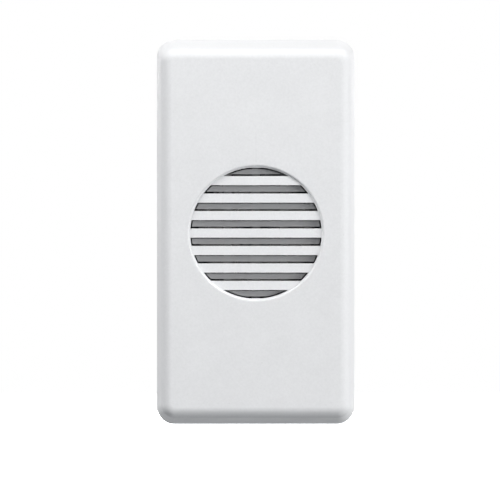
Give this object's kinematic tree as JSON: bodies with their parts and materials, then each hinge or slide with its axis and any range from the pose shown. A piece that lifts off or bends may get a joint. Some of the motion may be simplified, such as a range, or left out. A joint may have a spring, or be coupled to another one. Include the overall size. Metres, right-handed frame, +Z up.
{
  "type": "flush-mounting electric bell insert",
  "caption": "Narrow white bell insert for a wiring frame: round slotted sound grille, gong with magnet and hammer inside, clipped rear housing, screw terminals.",
  "frame": {"origin": "centre of the plane in which the rear edge of the front cover seats on its mounting frame", "axes": "+X to the right seen from the room, +Y into the wall (the face looks along -Y), +Z up"},
  "size_m": [0.0226, 0.0391, 0.0438],
  "materials": {
    "cover_white": "white, fine satin mould texture",
    "baffle_grey": "mid grey, matt",
    "housing_grey": "light grey technical plastic, matt",
    "cap_grey": "dark grey technical plastic, matt",
    "frame_black": "black plastic, matt",
    "bobbin_natural": "natural nylon",
    "gong_nickel": "nickel plated, fine turned lines",
    "zinc_steel": "zinc plated",
    "soft_iron": "zinc plated soft iron",
    "spring_steel": "drawn wire",
    "terminal_brass": "plain brass",
    "winding_copper": "enamelled copper wire",
    "coil_tape_yellow": "clear yellow tape",
    "lead_red": "red insulation",
    "lead_black": "black insulation",
    "washer_fibre": "red vulcanised fibre",
    "stop_rubber": "matt black rubber"
  },
  "bodies": {
    "root": {"front_cover": "cover_white", "sound_baffle": "baffle_grey", "rear_housing": "housing_grey", "terminal_block": "cap_grey", "terminal_cap": "cap_grey", "inner_frame": "frame_black", "frame_screws": "zinc_steel", "gong": "gong_nickel", "gong_post": "zinc_steel", "gong_washer": "washer_fibre", "gong_screw": "zinc_steel", "magnet_yoke": "soft_iron", "magnet_core": "soft_iron", "coil_bobbin": "bobbin_natural", "coil_winding": "winding_copper", "coil_tape": "coil_tape_yellow", "coil_pins": "zinc_steel", "lead_wire_left": "lead_red", "lead_wire_right": "lead_black", "pivot_pin": "zinc_steel", "pivot_clips": "spring_steel", "return_spring": "spring_steel", "stop_bumper": "stop_rubber", "yoke_screw": "zinc_steel", "terminal_cage_left": "terminal_brass", "terminal_cage_right": "terminal_brass"},
    "armature": {"armature_plate": "soft_iron", "hammer_arm": "spring_steel", "hammer_head": "zinc_steel", "armature_rivets": "terminal_brass"},
    "clamp_left": {"clamp_plate_left": "zinc_steel"},
    "clamp_right": {"clamp_plate_right": "zinc_steel"},
    "screw_left": {"terminal_screw_left": "zinc_steel"},
    "screw_right": {"terminal_screw_right": "zinc_steel"}
  },
  "joints": [
    {"name": "armature_swing", "type": "hinge", "parent": "root", "child": "armature", "pos_m": [0, 0.0225, 0.01035], "axis": [1, 0, 0], "range_deg": [0, 2.05], "stiffness_Nm_per_rad": 0.006, "springref_deg": -5.73, "deforming": ["return_spring"]},
    {"name": "clamp_slide_left", "type": "slide", "parent": "root", "child": "clamp_left", "axis": [0, -1, 0], "range_m": [0, 0.0025]},
    {"name": "screw_turn_left", "type": "hinge", "parent": "clamp_left", "child": "screw_left", "pos_m": [-0.0052, 0.024, -0.0157], "axis": [0, -1, 0], "range_deg": [0, 1800]},
    {"name": "clamp_slide_right", "type": "slide", "parent": "root", "child": "clamp_right", "axis": [0, -1, 0], "range_m": [0, 0.0025]},
    {"name": "screw_turn_right", "type": "hinge", "parent": "clamp_right", "child": "screw_right", "pos_m": [0.0052, 0.024, -0.0157], "axis": [0, -1, 0], "range_deg": [0, 1800]}
  ],
  "couplings": [
    {"joint": "screw_turn_left", "follows": "clamp_slide_left", "rad_per_m": 12566},
    {"joint": "screw_turn_right", "follows": "clamp_slide_right", "rad_per_m": 12566}
  ]
}
